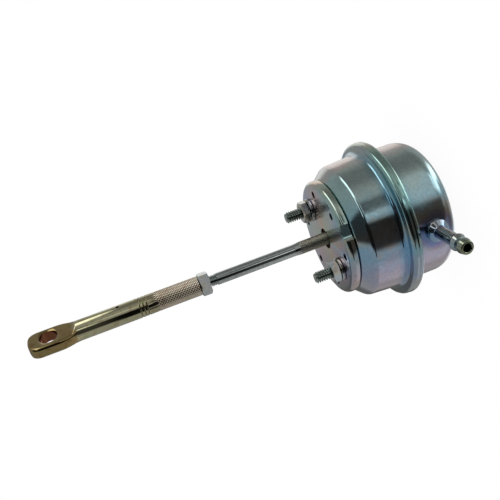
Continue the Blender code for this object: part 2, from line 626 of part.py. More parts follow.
def rod_end(adjuster):
    """The adjustable rod end: a bored sleeve, forged flat at its far end and drilled for the lever's pin."""
    bm = bmesh.new()
    rings = [bar_ring(bm, *section) for section in eye_sections()]
    loops = [[bm.edges.new((a, b)) for a, b in zip(ring, ring[1:] + ring[:1])] for ring in rings]
    bm.faces.new(rings[0])
    for low, high in zip(loops, loops[1:]):
        bmesh.ops.bridge_loops(bm, edges=low + high)
    end = add("rod_end", mesh_from("rod_end", bm), YELLOW_ZINC, adjuster)

    bore = ROD_THREAD_RADIUS + HOLE_CLEARANCE
    bottom = SLEEVE_FACE + SLEEVE_BORE_DEPTH
    drill = [(0, SLEEVE_FACE - SLEEVE_EDGE), (bore + 2 * SLEEVE_EDGE, SLEEVE_FACE - SLEEVE_EDGE),
             (bore, SLEEVE_FACE + SLEEVE_EDGE), (bore, bottom), (0, bottom + bore * CHAMFER_SLOPE)]
    sideways = Matrix.Rotation(math.pi / 2, 4, "Y")
    face = EYE_THICKNESS / 2
    past = EYE_THICKNESS
    wide = EYE_HOLE_RADIUS + past - face + EYE_HOLE_CHAMFER
    eye = [(0, -past), (wide, -past), (EYE_HOLE_RADIUS, EYE_HOLE_CHAMFER - face),
           (EYE_HOLE_RADIUS, face - EYE_HOLE_CHAMFER), (wide, past), (0, past)]
    witness = Matrix.Translation((0, 0, SLEEVE_FACE + WITNESS_HOLE_REACH)) @ sideways
    cut(
        end,
        add("sleeve_bore_cutter", turned_mesh("sleeve_bore_cutter", drill)),
        add("eye_cutter", turned_mesh("eye_cutter", eye),
            place=Matrix.Translation((0, 0, EYE_HEIGHT)) @ sideways),
        pin("witness_hole_cutter", WITNESS_HOLE_RADIUS, 0, 2 * SLEEVE_RADIUS, witness),
    )


def nipple_place():
    """The nipple's own Z points out of the can's wall."""
    return at_angle(NIPPLE_ANGLE, 0, NIPPLE_HEIGHT) @ Matrix.Rotation(math.pi / 2, 4, "Y")


def hose_nipple(housing):
    """The turned nipple: a spigot in the can's wall, a collar brazed on it, and two beads for the hose."""
    tip = REAR_RADIUS + NIPPLE_REACH
    seat = REAR_RADIUS + SEAT_GAP
    collar_top = seat + COLLAR_LAND
    tube_start = collar_top + COLLAR_CONE
    outline = [
        (0, REAR_RADIUS - SHEET),
        (COLLAR_RADIUS, REAR_RADIUS - SHEET),
        (COLLAR_RADIUS, collar_top),
        (NIPPLE_TUBE_RADIUS, tube_start),
        (NIPPLE_TUBE_RADIUS, tip - BEAD_START),
        (BEAD_RADIUS, tip - BEAD_CREST),
        (NECK_RADIUS, tip - BEAD_FOOT),
        (END_BEAD_RADIUS, tip - END_BEAD_CREST),
        (END_FACE_RADIUS, tip),
        (0, tip),
    ]
    place = nipple_place()
    nipple = turned("hose_nipple", outline, ZINC, housing, place)
    cut(nipple, pin("nipple_saddle_cutter", seat, 0, 2 * NIPPLE_HEIGHT))
    spigot = pin("nipple_spigot_tool", NIPPLE_SPIGOT_RADIUS, REAR_RADIUS - SHEET, tube_start, place)
    boolean(nipple, "UNION", spigot)
    cut(nipple, pin("nipple_bore_cutter", NIPPLE_BORE_RADIUS, REAR_RADIUS / 2, 2 * tip, place))


def build():
    clear_scene()
    housing = empty("housing")
    slide = empty("rod_slide")
    adjuster = empty("adjuster", SLEEVE_FACE, slide)

    rear_can(housing)
    front_can(housing)
    mounting_plate(housing)
    studs(housing)
    rod_bush(housing)
    spring_seat(housing)
    spring(housing)
    diaphragm(housing)
    hose_nipple(housing)

    rod_group(slide)
    turn = Matrix.Rotation(JAM_NUT_CORNER_ANGLE, 4, "Z")
    hex_nut("jam_nut", NUT_ACROSS_FLATS, JAM_NUT_HEIGHT, ROD_THREAD_RADIUS + HOLE_CLEARANCE, DULL_ZINC,
            adjuster, Matrix.Translation((0, 0, JAM_NUT_BACK)) @ turn)
    rod_end(adjuster)


build()
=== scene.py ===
import math

import bmesh
import bpy
from mathutils import Matrix, Vector


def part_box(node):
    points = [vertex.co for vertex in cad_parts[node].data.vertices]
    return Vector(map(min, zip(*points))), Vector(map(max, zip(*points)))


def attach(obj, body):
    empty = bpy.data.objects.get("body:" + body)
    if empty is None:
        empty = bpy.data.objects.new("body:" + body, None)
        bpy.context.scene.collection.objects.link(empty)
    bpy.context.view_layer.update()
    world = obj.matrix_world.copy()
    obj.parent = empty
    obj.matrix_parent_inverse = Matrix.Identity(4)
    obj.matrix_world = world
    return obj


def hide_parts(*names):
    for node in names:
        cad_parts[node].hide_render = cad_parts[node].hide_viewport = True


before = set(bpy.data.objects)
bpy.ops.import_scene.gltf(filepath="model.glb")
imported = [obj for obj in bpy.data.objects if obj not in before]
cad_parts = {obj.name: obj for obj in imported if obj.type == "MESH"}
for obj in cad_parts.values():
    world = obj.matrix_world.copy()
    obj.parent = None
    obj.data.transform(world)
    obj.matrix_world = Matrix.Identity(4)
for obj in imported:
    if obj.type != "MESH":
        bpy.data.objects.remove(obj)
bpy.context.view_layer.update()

# The camera stands beside the hose nipple, a little higher than the mounting plate, and is rolled so that
# the push rod points to the lower left. A 54 mm lens on a 36 mm sensor gives the photograph's perspective.
MM = 0.001
camera_data = bpy.data.cameras.new("camera")
camera_data.lens = 54.066
camera_data.sensor_width = 36
camera = bpy.data.objects.new("camera", camera_data)
camera.location = (218.03 * MM, -322.79 * MM, 171.87 * MM)
camera.rotation_euler = [math.radians(angle) for angle in (-62.4893, 67.431, -121.4921)]
bpy.context.collection.objects.link(camera)
bpy.context.scene.camera = camera
bpy.context.scene.view_settings.view_transform = "Standard"


# The studio: a white paper floor in a white room. The floor glows for the camera, so that it is as white as
# the room, and keeps a part of the shadow that the object throws on it.
FLOOR_HALF = 4.0
FLOOR_GLOW = 0.93  # the share of the floor's white that no shadow darkens


def linear(code):
    """A hex sRGB colour as linear red, green, blue and alpha."""
    channels = [int(code[i:i + 2], 16) / 255 for i in (1, 3, 5)]
    return (*[c / 12.92 if c <= 0.04045 else ((c + 0.055) / 1.055) ** 2.4 for c in channels], 1)


def add_node(tree, kind, values=None, links=None, stops=None, **settings):
    """Add one shader node with its settings, input values, links from other nodes and colour stops."""
    node = tree.nodes.new("ShaderNode" + kind)
    for name, value in settings.items():
        setattr(node, name, value)
    for name, value in (values or {}).items():
        node.inputs[name].default_value = value
    for name, output in (links or {}).items():
        tree.links.new(output, node.inputs[name])
    for i, (place, code) in enumerate(stops or ()):
        elements = node.color_ramp.elements
        stop = elements[i] if i < 2 else elements.new(place)
        stop.position = place
        stop.color = linear(code)
    return node


def seen_rays(tree):
    """One for rays from the camera, from a mirror or through glass, and zero for the rest."""
    path = add_node(tree, "LightPath")
    either = add_node(tree, "Math", {}, {0: path.outputs["Is Camera Ray"],
                                         1: path.outputs["Is Glossy Ray"]}, operation="MAXIMUM")
    seen = add_node(tree, "Math", {}, {0: either.outputs[0],
                                       1: path.outputs["Is Transmission Ray"]}, operation="MAXIMUM")
    return seen.outputs[0]


def empty_material(name):
    """A material without nodes, and its node tree."""
    finish = bpy.data.materials.new(name)
    finish.use_nodes = True
    finish.node_tree.nodes.clear()
    return finish, finish.node_tree


def staged(name, bm, finish):
    """A piece of the studio, which the part doesn't include."""
    mesh = bpy.data.meshes.new(name)
    bm.to_mesh(mesh)
    bm.free()
    mesh.materials.append(finish)
    made = bpy.data.objects.new(name, mesh)
    bpy.context.collection.objects.link(made)
    return made


paper, tree = empty_material("white_paper_floor")
matte = add_node(tree, "BsdfDiffuse", {"Color": linear("#fbfbfb")})
glow = add_node(tree, "Emission", {"Strength": 1.01})
share = add_node(tree, "Math", {1: FLOOR_GLOW}, {0: seen_rays(tree)}, operation="MULTIPLY")
mixed = add_node(tree, "MixShader", {}, {0: share.outputs[0], 1: matte.outputs[0], 2: glow.outputs[0]})
add_node(tree, "OutputMaterial", {}, {"Surface": mixed.outputs[0]})

sheet_of_paper = bmesh.new()
bmesh.ops.create_grid(sheet_of_paper, x_segments=1, y_segments=1, size=FLOOR_HALF)
floor = staged("floor", sheet_of_paper, paper)
floor.visible_glossy = False

world = bpy.data.worlds.new("white_room")
world.use_nodes = True
bpy.context.scene.world = world
tree = world.node_tree
tree.nodes.clear()
room = add_node(tree, "Background", {"Color": linear("#ffffff"), "Strength": 1.0})
add_node(tree, "OutputWorld", {}, {"Surface": room.outputs[0]})

# The light tent that the metal mirrors: a round tent of grey cloth with black flags and soft boxes hung in
# it. Only reflected rays see it. Each panel is given as azimuth, half width, edge, elevation, half height
# and edge, all in degrees, and the level of its light.
TENT_RADIUS = 2.0
TENT_HEIGHT = 60 * MM
TENT_CLOTH = 0.42
TENT_PANELS = [
    (26, 22, 30, -8, 44, 24, 0.22),       # far side of the cloth, in shade
    (-31, 9, 12, 24, 43, 10, 0.13),       # shaded strip beside the flag over the camera
    (-151, 22, 14, -28, 18, 12, 0.62),    # lit side of the cloth
    (-94, 11, 12, 8, 70, 16, 0.065),      # black flag round the camera, soft side
    (-78, 21, 8, 8, 70, 16, 0.06),        # and its sharp side
    (-64, 36, 10, 44, 38, 10, 0.035),     # black flag over the camera
    (-78.5, 21.5, 9, 23, 31, 8, 0.006),   # the camera's black front
    (-100, 14, 8, 4, 8, 4, 0.006),        # and its lower corner
    (-140, 50, 20, -74, 12, 10, 0.18),    # table edge
    (-28, 24, 14, -32, 10, 12, 0.66),     # spill over the low soft box
    (-46.5, 4, 5, -15, 6, 5, 1.6),        # strip light
    (20, 62, 16, -68, 7, 8, 2.6),         # low soft box
    (-22, 18, 10, -54, 8, 10, 1.5),       # its upper end
    (16, 26, 12, 22, 9, 8, 2.2),          # long soft box over the object
    (-26, 18, 8, 31, 3, 4, 1.8),          # its narrow end
    (-32, 8, 6, 1, 6, 5, 0.7),            # gap between two flags
    (90, 17, 14, -9, 19, 10, 1.0),        # tall soft box
    (143, 15, 12, 12, 36, 10, 0.14),      # narrow flag beside it
    (136, 20, 14, -42, 10, 10, 1.25),     # small soft box
]


def smooth_box(tree, value, centre, half, edge, wrap=False):
    """One inside centre plus or minus half, falling smoothly to zero over the edge."""
    away = add_node(tree, "Math", {1: centre}, {0: value}, operation="SUBTRACT")
    if wrap:
        away = add_node(tree, "Math", {1: 180.0, 2: -180.0}, {0: away.outputs[0]}, operation="WRAP")
    far = add_node(tree, "Math", {}, {0: away.outputs[0]}, operation="ABSOLUTE")
    fade = add_node(tree, "MapRange",
                    {"From Min": half - edge / 2, "From Max": half + edge / 2, "To Min": 1.0, "To Max": 0.0},
                    {"Value": far.outputs[0]}, interpolation_type="SMOOTHSTEP")
    return fade.outputs[0]


cloth, tree = empty_material("grey_tent_cloth")
place = add_node(tree, "NewGeometry")
centred = add_node(tree, "VectorMath", {1: (0, 0, TENT_HEIGHT)}, {0: place.outputs["Position"]},
                   operation="SUBTRACT")
way = add_node(tree, "VectorMath", {}, {0: centred.outputs[0]}, operation="NORMALIZE")
axes = add_node(tree, "SeparateXYZ", {}, {0: way.outputs[0]})
turn_angle = add_node(tree, "Math", {}, {0: axes.outputs["Y"], 1: axes.outputs["X"]}, operation="ARCTAN2")
azimuth = add_node(tree, "Math", {}, {0: turn_angle.outputs[0]}, operation="DEGREES")
rise_angle = add_node(tree, "Math", {}, {0: axes.outputs["Z"]}, operation="ARCSINE")
elevation = add_node(tree, "Math", {}, {0: rise_angle.outputs[0]}, operation="DEGREES")
level = None
for across, half_width, side_edge, up, half_height, end_edge, brightness in TENT_PANELS:
    inside = add_node(tree, "Math", {}, {
        0: smooth_box(tree, azimuth.outputs[0], across, half_width, side_edge, wrap=True),
        1: smooth_box(tree, elevation.outputs[0], up, half_height, end_edge)}, operation="MULTIPLY")
    blend = add_node(tree, "Mix", {2: TENT_CLOTH, 3: brightness}, {0: inside.outputs[0]})
    if level:
        tree.links.new(level, blend.inputs[2])
    level = blend.outputs[0]
shine = add_node(tree, "Emission", {}, {"Strength": level})
add_node(tree, "OutputMaterial", {}, {"Surface": shine.outputs[0]})

ball = bmesh.new()
bmesh.ops.create_uvsphere(ball, u_segments=48, v_segments=24, radius=TENT_RADIUS,
                          matrix=Matrix.Translation((0, 0, TENT_HEIGHT)))
bmesh.ops.reverse_faces(ball, faces=ball.faces)
tent = staged("light_tent", ball, cloth)
tent.visible_camera = False
tent.visible_diffuse = False
tent.visible_shadow = False
tent.visible_transmission = False


# The rear can, on the pressure side: a cup deep drawn from 1.5 mm steel sheet, with a large corner radius
# at its closed end and a flange at its mouth, then zinc plated and passivated. The brazing of the nipple
# has tinted the plating round its collar blue and purple.
SHEET = 1.5 * MM
REAR_RADIUS = 36.5 * MM
REAR_CORNER = 11 * MM
FLANGE_FILLET = 2 * MM
ROUND_STEPS = 192  # facets round a large turned piece
SHARP = 28  # edges that turn by more degrees than this are drawn sharp
FILLET_FACET = 0.5 * MM  # length of one facet along a rounded corner


def outline(bm, corners, closed=False):
    """Draw a line through (radius, height, fillet) corners beside the Z axis and round its corners."""
    verts = [bm.verts.new((radius, 0, height)) for radius, height, *_ in corners]
    for pair in zip(verts, verts[1:] + verts[:1] if closed else verts[1:]):
        bm.edges.new(pair)
    for vert, (_, _, *fillet) in zip(verts, corners):
        if not fillet:
            continue
        first, second = [edge.other_vert(vert).co - vert.co for edge in vert.link_edges]
        half = first.angle(second) / 2
        bmesh.ops.bevel(bm, geom=[vert], offset=fillet[0] / math.tan(half), offset_type="OFFSET",
                        affect="VERTICES", segments=max(3, round(fillet[0] / FILLET_FACET)),
                        profile=0.5, material=-1)


def turned(corners, closed=False, steps=ROUND_STEPS):
    """A new shape: the line through the corners, turned once round the Z axis."""
    bm = bmesh.new()
    outline(bm, corners, closed)
    bmesh.ops.spin(bm, geom=bm.verts[:] + bm.edges[:], cent=(0, 0, 0), axis=(0, 0, 1),
                   angle=2 * math.pi, steps=steps, use_merge=True)
    bmesh.ops.remove_doubles(bm, verts=bm.verts, dist=0.002 * MM)
    bmesh.ops.recalc_face_normals(bm, faces=bm.faces)
    return bm


def smooth_shaded(mesh):
    """Shade a mesh smooth, except across its sharp edges."""
    mesh.shade_smooth()
    mesh.set_sharp_from_angle(angle=math.radians(SHARP))


def piece(name, bm, finish, body, node):
    """One finished piece that rides on its body and stands for its CAD node."""
    mesh = bpy.data.meshes.new(name)
    bm.to_mesh(mesh)
    bm.free()
    smooth_shaded(mesh)
    mesh.materials.append(finish)
    made = bpy.data.objects.new(name, mesh)
    bpy.context.collection.objects.link(made)
    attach(made, body)
    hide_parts(node)
    return made


def cut(made, *tools, operation="DIFFERENCE"):
    """Take the tools' shapes away from a piece, and the tools out of the scene."""
    for tool in tools:
        tool_mesh = bpy.data.meshes.new("tool")
        tool.to_mesh(tool_mesh)
        tool.free()
        cutter = bpy.data.objects.new("tool", tool_mesh)
        bpy.context.collection.objects.link(cutter)
        modifier = made.modifiers.new("cut", "BOOLEAN")
        modifier.operation = operation
        modifier.solver = "EXACT"
        modifier.object = cutter
        graph = bpy.context.evaluated_depsgraph_get()
        result = bpy.data.meshes.new_from_object(made.evaluated_get(graph))
        made.modifiers.clear()
        old = made.data
        made.data = result
        result.name = made.name
        bpy.data.meshes.remove(old)
        bpy.data.objects.remove(cutter)
        bpy.data.meshes.remove(tool_mesh)
    smooth_shaded(made.data)


def pin(radius, low, high, place):
    """A round cutter along the Z of its place."""
    bm = turned([(0, low), (radius, low), (radius, high), (0, high)], steps=64)
    bmesh.ops.transform(bm, matrix=place, verts=bm.verts)
    return bm


# Blue passivated bright zinc: a mirror-like grey metal whose thin clear film breaks the light into lilac,
# teal and tan. The film's tint drifts round the can, turns blue where the sheet is drawn round a corner,
# and is mottled in patches of a few millimetres. The drawing leaves faint streaks along the wall.
TINTS_ROUND = [
    (-180, "#bcbfc0"), (-150, "#c8c0b4"), (-122, "#c6bac1"), (-102, "#bab6cc"), (-84, "#a4c2d8"),
    (-68, "#c8bcae"), (-54, "#a2c6d0"), (-30, "#b3c9c5"), (-6, "#b5c8c2"), (8, "#cabcb5"),
    (24, "#cbbeb4"), (60, "#b2bccc"), (100, "#b1c9c1"), (140, "#c5b9c0"), (180, "#bcbfc0"),
]
PATCH_SIZE = 9 * MM
MOTTLE_SIZE = 1.6 * MM
STREAK_WIDTH = 0.5 * MM  # real drawing lines are finer; these are drawn as fine as the render shows
STREAK_STRETCH = 0.03  # a streak is as long as its width over this
STREAK_DEPTH = 0.0015 * MM
DENT_SIZE = 5 * MM
DENT_DEPTH = 0.03 * MM
TINT_DRIFT = 0.022  # how far the patches shift the tint round the can, as a share of a turn
BAND_WANDER = 0.8 * MM  # how far they shift it along the wall
HEAT_TINT = (6 * MM, 13 * MM)  # where the brazing's tint starts to fade and ends, from the collar's middle
SATIN_ROUGHNESS = 0.12  # added inside satin_radius
NOISE_SPAN = {"From Min": 0.3, "From Max": 0.7}  # most of a noise's values lie between these


def bright_zinc(name, bands, along, roughness, heat=None, satin_radius=None):
    """Bright zinc with bands of tint, as (millimetres, colour) stops along the height or the radius."""
    finish, tree = empty_material(name)
    coords = add_node(tree, "TexCoord")
    axes = add_node(tree, "SeparateXYZ", {}, {0: coords.outputs["Object"]})
    flat = add_node(tree, "CombineXYZ", {}, {0: axes.outputs["X"], 1: axes.outputs["Y"]})
    radius = add_node(tree, "VectorMath", {}, {0: flat.outputs[0]}, operation="LENGTH")
    patches = add_node(tree, "TexNoise", {"Scale": 1 / PATCH_SIZE, "Detail": 3.0, "Roughness": 0.6},
                       {"Vector": coords.outputs["Object"]})
    mottle = add_node(tree, "TexNoise", {"Scale": 1 / MOTTLE_SIZE, "Detail": 2.0},
                      {"Vector": coords.outputs["Object"]})

    angle = add_node(tree, "Math", {}, {0: axes.outputs["Y"], 1: axes.outputs["X"]}, operation="ARCTAN2")
    round_share = add_node(tree, "MapRange", {"From Min": -math.pi, "From Max": math.pi},
                           {"Value": angle.outputs[0]})
    drift = add_node(tree, "MapRange", {**NOISE_SPAN, "To Min": -TINT_DRIFT, "To Max": TINT_DRIFT},
                     {"Value": patches.outputs["Fac"]})
    drifted = add_node(tree, "Math", {}, {0: round_share.outputs[0], 1: drift.outputs[0]}, operation="ADD")
    tint = add_node(tree, "ValToRGB", {}, {0: drifted.outputs[0]},
                    stops=[((degrees + 180) / 360, code) for degrees, code in TINTS_ROUND])

    first, last = bands[0][0] * MM, bands[-1][0] * MM
    reach = radius.outputs["Value"] if along == "radius" else axes.outputs["Z"]
    wander = add_node(tree, "MapRange", {**NOISE_SPAN, "To Min": -BAND_WANDER, "To Max": BAND_WANDER},
                      {"Value": patches.outputs["Fac"]})
    wandered = add_node(tree, "Math", {}, {0: reach, 1: wander.outputs[0]}, operation="ADD")
    band_share = add_node(tree, "MapRange", {"From Min": first, "From Max": last},
                          {"Value": wandered.outputs[0]})
    band = add_node(tree, "ValToRGB", {}, {0: band_share.outputs[0]},
                    stops=[((place * MM - first) / (last - first), code) for place, code in bands])
    colour = add_node(tree, "Mix", {0: 1.0}, {6: tint.outputs[0], 7: band.outputs[0]},
                      data_type="RGBA", blend_type="MULTIPLY")
    if heat:
        away = add_node(tree, "VectorMath", {1: heat}, {0: coords.outputs["Object"]}, operation="DISTANCE")
        heat_share = add_node(tree, "MapRange", {"From Min": HEAT_TINT[0], "From Max": HEAT_TINT[1]},
                              {"Value": away.outputs["Value"]})
        burn = add_node(tree, "ValToRGB", {}, {0: heat_share.outputs[0]},
                        stops=[(0.0, "#b4c2de"), (0.25, "#b9b9dc"), (0.5, "#dccadc"), (0.75, "#f2e8dc"),
                               (1.0, "#ffffff")])
        colour = add_node(tree, "Mix", {0: 1.0}, {6: colour.outputs[2], 7: burn.outputs[0]},
                          data_type="RGBA", blend_type="MULTIPLY")
    shade = add_node(tree, "ValToRGB", {}, {0: mottle.outputs["Fac"]},
                     stops=[(0.3, "#eeeef0"), (0.7, "#ffffff")])
    colour = add_node(tree, "Mix", {0: 1.0}, {6: colour.outputs[2], 7: shade.outputs[0]},
                      data_type="RGBA", blend_type="MULTIPLY")

    gloss = add_node(tree, "MapRange", {**NOISE_SPAN, "To Min": roughness[0], "To Max": roughness[1]},
                     {"Value": patches.outputs["Fac"]})
    if satin_radius:
        rubbed = add_node(tree, "MapRange", {"From Min": satin_radius, "From Max": satin_radius + 1 * MM,
                                             "To Min": SATIN_ROUGHNESS, "To Max": 0.0},
                          {"Value": radius.outputs["Value"]})
        gloss = add_node(tree, "Math", {}, {0: gloss.outputs[0], 1: rubbed.outputs[0]}, operation="ADD")
    stretched = add_node(tree, "Mapping", {"Scale": (1, 1, STREAK_STRETCH)},
                         {"Vector": coords.outputs["Object"]})
    streaks = add_node(tree, "TexNoise", {"Scale": 1 / STREAK_WIDTH, "Detail": 2.0},
                       {"Vector": stretched.outputs[0]})
    dents = add_node(tree, "TexNoise", {"Scale": 1 / DENT_SIZE, "Detail": 1.0},
                     {"Vector": coords.outputs["Object"]})
    lines = add_node(tree, "Bump", {"Strength": 0.5, "Distance": STREAK_DEPTH},
                     {"Height": streaks.outputs["Fac"]})
    waves = add_node(tree, "Bump", {"Strength": 1.0, "Distance": DENT_DEPTH},
                     {"Height": dents.outputs["Fac"], "Normal": lines.outputs[0]})
    shader = add_node(tree, "BsdfPrincipled", {"Metallic": 1.0, "Coat Weight": 0.6, "Coat Roughness": 0.5},
                      {"Base Color": colour.outputs[2], "Roughness": gloss.outputs[0],
                       "Normal": waves.outputs[0]})
    add_node(tree, "OutputMaterial", {}, {"Surface": shader.outputs[0]})
    return finish


NIPPLE_TURN = Matrix.Rotation(math.radians(-81.3), 4, "Z")
NIPPLE_HEIGHT = 14.3 * MM
NIPPLE_BORE = 2.25 * MM
nipple_place = (NIPPLE_TURN @ Matrix.Translation((0, 0, NIPPLE_HEIGHT))
                @ Matrix.Rotation(math.pi / 2, 4, "Y"))
rear_zinc = bright_zinc("blue_passivated_bright_zinc_rear_can",
                        [(0, "#ffffff"), (6, "#f4fbff"), (10, "#ffffff"), (20, "#ffffff"), (25, "#dff0f8")],
                        "height", (0.14, 0.24), heat=nipple_place @ Vector((0, 0, REAR_RADIUS)))

low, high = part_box("rear_can")
FLANGE_HEIGHT = high.z - SHEET
FLANGE_RADIUS = high.x
rear = turned([
    (0, 0),
    (REAR_RADIUS, 0, REAR_CORNER),
    (REAR_RADIUS, FLANGE_HEIGHT, FLANGE_FILLET),
    (FLANGE_RADIUS, FLANGE_HEIGHT),
    (FLANGE_RADIUS, FLANGE_HEIGHT + SHEET),
    (REAR_RADIUS - SHEET, FLANGE_HEIGHT + SHEET, FLANGE_FILLET + SHEET),
    (REAR_RADIUS - SHEET, SHEET, REAR_CORNER - SHEET),
    (0, SHEET),
])
rear_can = piece("rear_can_shell", rear, rear_zinc, "housing", "rear_can")
cut(rear_can, pin(NIPPLE_BORE, REAR_RADIUS / 2, 2 * REAR_RADIUS, nipple_place))


# The hose nipple: turned steel with a collar that is brazed to the can's wall, and two beads that grip the
# hose. It is zinc plated with the can, and its free end is more yellow.
NIPPLE_REACH = 28 * MM
COLLAR_RADIUS = 6 * MM
COLLAR_LAND = 1.35 * MM
COLLAR_CONE = 2 * MM
TUBE_RADIUS = 3.5 * MM
TUBE_END = 11.5 * MM  # this and the next places are taken back from the tip
FIRST_BEAD = (4.6 * MM, 8.5 * MM)  # radius and place
WAIST = (3.55 * MM, 6.2 * MM)
SECOND_BEAD = (4.15 * MM, 3.4 * MM)
BEAD_FILLET = 0.8 * MM
TIP_RADIUS = 3.45 * MM
TIP_CHAMFER = 0.25 * MM
nipple_zinc = bright_zinc("blue_passivated_bright_zinc_nipple",
                          [(36, "#cfe4f4"), (41, "#f0f6ff"), (52, "#ffffff"), (60, "#f6eccf"),
                           (64.5, "#d8c896")],
                          "radius", (0.08, 0.14))
tip = REAR_RADIUS + NIPPLE_REACH
nipple = turned([
    (NIPPLE_BORE, REAR_RADIUS - SHEET),
    (COLLAR_RADIUS, REAR_RADIUS - SHEET),
    (COLLAR_RADIUS, REAR_RADIUS + COLLAR_LAND, 0.5 * MM),
    (TUBE_RADIUS, REAR_RADIUS + COLLAR_LAND + COLLAR_CONE, 0.8 * MM),
    (TUBE_RADIUS, tip - TUBE_END, 1.5 * MM),
    (FIRST_BEAD[0], tip - FIRST_BEAD[1], BEAD_FILLET),
    (WAIST[0], tip - WAIST[1], BEAD_FILLET),
    (SECOND_BEAD[0], tip - SECOND_BEAD[1], BEAD_FILLET),
    (TIP_RADIUS, tip, 0.5 * MM),
    (NIPPLE_BORE + TIP_CHAMFER, tip),
    (NIPPLE_BORE, tip - TIP_CHAMFER),
], closed=True, steps=96)
bmesh.ops.transform(nipple, matrix=nipple_place, verts=nipple.verts)
piece("hose_nipple_turned", nipple, nipple_zinc, "housing", "hose_nipple")


# The front can, on the spring side: drawn from the same sheet with a conical shoulder. Its web is folded
# round the rear can's flange and pinches the diaphragm between the two. The film is bluest in the corner at
# the web and on the shoulder, where the sheet was stretched most.
FRONT_BASE_RADIUS = 37.65 * MM
FRONT_BASE_FILLET = 3 * MM
SHOULDER_RADIUS = 36.5 * MM
SHOULDER_DEPTH = 6.3 * MM
SHOULDER_FILLET = 3 * MM
END_WALL_RADIUS = 30.9 * MM
END_WALL_FILLET = 2 * MM
END_WALL_DEPTH = 23.8 * MM  # from the end wall back to the web
BUSH_HOLE_RADIUS = 5.8 * MM
RIM_LIP_WIDTH = 3.3 * MM
RIM_FRONT_FILLET = 2.2 * MM
RIM_BACK_FILLET = 2 * MM
RIM_LINE = (3.1 * MM, 3.9 * MM)  # a shallow line round the rim, measured back from the web
RIM_LINE_DEPTH = 0.2 * MM
RIM_LINE_FILLET = 0.3 * MM
front_zinc = bright_zinc("blue_passivated_bright_zinc_front_can",
                         [(25, "#e2f4ec"), (30, "#e2f6ea"), (31.5, "#d2eef2"), (33, "#b4def6"),
                          (35, "#dceffa"), (37.5, "#ffffff"), (48, "#ffffff"), (51, "#e2f4fa"),
                          (56, "#e4f6f8")],
                         "height", (0.06, 0.13))
low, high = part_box("front_can")
RIM_RADIUS = high.x
END_WALL = high.z
WEB_FRONT = END_WALL - END_WALL_DEPTH
front = turned([
    (BUSH_HOLE_RADIUS, END_WALL),
    (END_WALL_RADIUS, END_WALL, END_WALL_FILLET),
    (SHOULDER_RADIUS, END_WALL - SHOULDER_DEPTH, SHOULDER_FILLET),
    (FRONT_BASE_RADIUS, WEB_FRONT, FRONT_BASE_FILLET),
    (RIM_RADIUS, WEB_FRONT, RIM_FRONT_FILLET),
    (RIM_RADIUS - RIM_LINE_DEPTH, WEB_FRONT - RIM_LINE[0], RIM_LINE_FILLET),
    (RIM_RADIUS, WEB_FRONT - RIM_LINE[1], RIM_LINE_FILLET),
    (RIM_RADIUS, low.z, RIM_BACK_FILLET),
    (RIM_RADIUS - RIM_LIP_WIDTH, low.z),
    (RIM_RADIUS - RIM_LIP_WIDTH, low.z + SHEET),
    (RIM_RADIUS - SHEET, low.z + SHEET),
    (RIM_RADIUS - SHEET, WEB_FRONT - SHEET),
    (FRONT_BASE_RADIUS - SHEET, WEB_FRONT - SHEET, FRONT_BASE_FILLET + SHEET),
    (SHOULDER_RADIUS - SHEET, END_WALL - SHOULDER_DEPTH),
    (END_WALL_RADIUS - SHEET, END_WALL - SHEET),
    (BUSH_HOLE_RADIUS, END_WALL - SHEET),
], closed=True)
piece("front_can_shell", front, front_zinc, "housing", "front_can")


# The mounting plate: a thick pressed disc welded to the can's end wall, with a rounded front edge, six
# breather holes and a notch in its edge that keys it to the bracket. Its face is tan in the middle and
# lilac outside, and its polished edge is teal.
low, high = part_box("mounting_plate")
PLATE_FRONT = high.z
PLATE_BACK = low.z
PLATE_RADIUS = (high.x - low.x) / 2
PLATE_FRONT_FILLET = 2.6 * MM
PLATE_BACK_FILLET = 0.5 * MM
PLATE_SATIN_RADIUS = 27.6 * MM  # the face is satin inside this and polished outside
PLATE_HOLE_RADIUS = 5.7 * MM
VENT_RADIUS = 2 * MM
VENT_CIRCLE = 24.8 * MM
VENT_ANGLES = (38, 90, 142)
STUD_ANGLES = (56.3, -123.7)
STUD_CIRCLE = 19.05 * MM
STUD_RADIUS = 3.1 * MM
STUD_CLEARANCE = 0.3 * MM
NOTCH_ANGLE = -58.5
NOTCH_WIDTH = 9.3 * MM
NOTCH_DEPTH = 1.8 * MM
NOTCH_FILLET = 3.2 * MM
plate_zinc = bright_zinc("blue_passivated_bright_zinc_plate",
                         [(0, "#ffffea"), (10, "#fff2de"), (18, "#fff0f0"), (25, "#f6efff"),
                          (28.5, "#e6f2ff"), (29.5, "#dcf2f2"), (31.4, "#fff6e6")],
                         "radius", (0.06, 0.11), satin_radius=PLATE_SATIN_RADIUS)


def at_angle(degrees, radius=0.0):
    """A place on a circle round Z, with its own X pointing outwards."""
    return Matrix.Rotation(math.radians(degrees), 4, "Z") @ Matrix.Translation((radius, 0, 0))


plate = turned([
    (PLATE_HOLE_RADIUS, PLATE_FRONT),
    (PLATE_RADIUS, PLATE_FRONT, PLATE_FRONT_FILLET),
    (PLATE_RADIUS, PLATE_BACK, PLATE_BACK_FILLET),
    (PLATE_HOLE_RADIUS, PLATE_BACK),
], closed=True)
mounting_plate = piece("mounting_plate_disc", plate, plate_zinc, "housing", "mounting_plate")
holes = [pin(VENT_RADIUS, PLATE_BACK - SHEET, PLATE_FRONT + SHEET,
             at_angle(STUD_ANGLES[0] + side * angle, VENT_CIRCLE))
         for angle in VENT_ANGLES for side in (1, -1)]
holes += [pin(STUD_RADIUS + STUD_CLEARANCE, PLATE_BACK - SHEET, PLATE_FRONT + SHEET,
              at_angle(angle, STUD_CIRCLE)) for angle in STUD_ANGLES]

